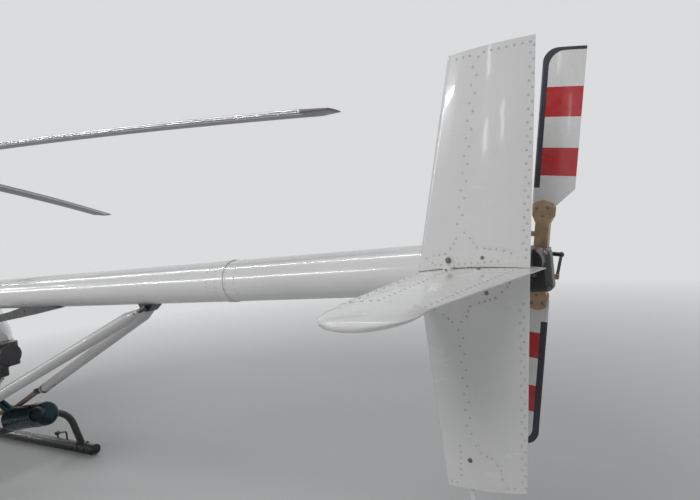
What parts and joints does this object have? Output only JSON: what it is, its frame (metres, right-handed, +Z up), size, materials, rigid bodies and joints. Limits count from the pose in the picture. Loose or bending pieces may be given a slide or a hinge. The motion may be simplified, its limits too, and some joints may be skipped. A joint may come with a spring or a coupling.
{
  "type": "two-seat light helicopter",
  "caption": "Light helicopter on skids with an enclosed cabin, three-blade main rotor, round tail boom on two struts, offset fin and a banded two-blade tail rotor.",
  "frame": {"origin": "middle of the parked machine's plan box, on the ground under the skids", "axes": "+X forward to the nose, +Y to port, +Z up"},
  "size_m": [6.2659, 5.9468, 2.33],
  "materials": {
    "white_paint": "gloss",
    "boom_paint": "gloss",
    "glass": "gloss",
    "black_paint": "satin",
    "frame_steel": "satin",
    "cabin_trim": "matte",
    "seat_cover": "matte",
    "engine_metal": "matte",
    "black_plastic": "matte",
    "muffler_metal": "gloss",
    "fork_bronze": "satin",
    "hub_steel": "satin",
    "blade_paint": "satin",
    "tail_blade_paint": "gloss",
    "strip_rubber": "matte",
    "lamp_glass": "gloss"
  },
  "bodies": {
    "airframe": {"cabin_tub": "white_paint", "cabin_roof": "white_paint", "windscreen": "glass", "chin_windows": "glass", "landing_lamp": "lamp_glass", "cabin_floor": "cabin_trim", "firewall": "engine_metal", "seat_base": "cabin_trim", "seat_left": "seat_cover", "seat_right": "seat_cover", "instrument_console": "cabin_trim", "flight_controls": "black_plastic", "engine_block": "engine_metal", "rear_frame": "frame_steel", "engine_cowling": "white_paint", "mast_fairing": "white_paint", "mast_housing": "hub_steel", "muffler": "muffler_metal", "cooler_duct": "black_plastic", "boom_front": "boom_paint", "boom_rear": "boom_paint", "boom_saddle": "black_plastic", "strut_left": "boom_paint", "strut_right": "boom_paint", "strut_fittings": "black_paint", "fin": "boom_paint", "stabiliser": "boom_paint", "tail_gearbox": "engine_metal", "tail_guard": "boom_paint", "skid_left": "black_paint", "skid_right": "black_paint", "cross_tube_front": "black_paint", "cross_tube_rear": "black_paint"},
    "main_rotor": {"rotor_hub": "hub_steel", "blade_grips": "hub_steel", "main_blade_1": "blade_paint", "main_blade_2": "blade_paint", "main_blade_3": "blade_paint", "turning_swashplate": "hub_steel"},
    "tail_rotor": {"tail_rotor_hub": "black_paint", "tail_forks": "fork_bronze", "tail_blades": "tail_blade_paint", "tail_blade_strips": "strip_rubber"},
    "door_left": {"door_left": "white_paint", "door_window_left": "glass"},
    "door_right": {"door_right": "white_paint", "door_window_right": "glass"}
  },
  "joints": [
    {"name": "main_rotor_spin", "type": "hinge", "parent": "airframe", "child": "main_rotor", "pos_m": [1.257, -0.0731, 2.26], "axis": [0, 0, 1], "continuous": true},
    {"name": "tail_rotor_spin", "type": "hinge", "parent": "airframe", "child": "tail_rotor", "pos_m": [-2.839, -0.2501, 1.352], "axis": [0, 1, 0], "continuous": true},
    {"name": "door_left_hinge", "type": "hinge", "parent": "airframe", "child": "door_left", "pos_m": [2.441, 0.4889, 0.92], "axis": [0, 0, -1], "range_deg": [0, 75]},
    {"name": "door_right_hinge", "type": "hinge", "parent": "airframe", "child": "door_right", "pos_m": [2.441, -0.6351, 0.92], "axis": [0, 0, 1], "range_deg": [0, 75]}
  ],
  "couplings": [
    {"joint": "tail_rotor_spin", "follows": "main_rotor_spin", "ratio": -5.34}
  ]
}
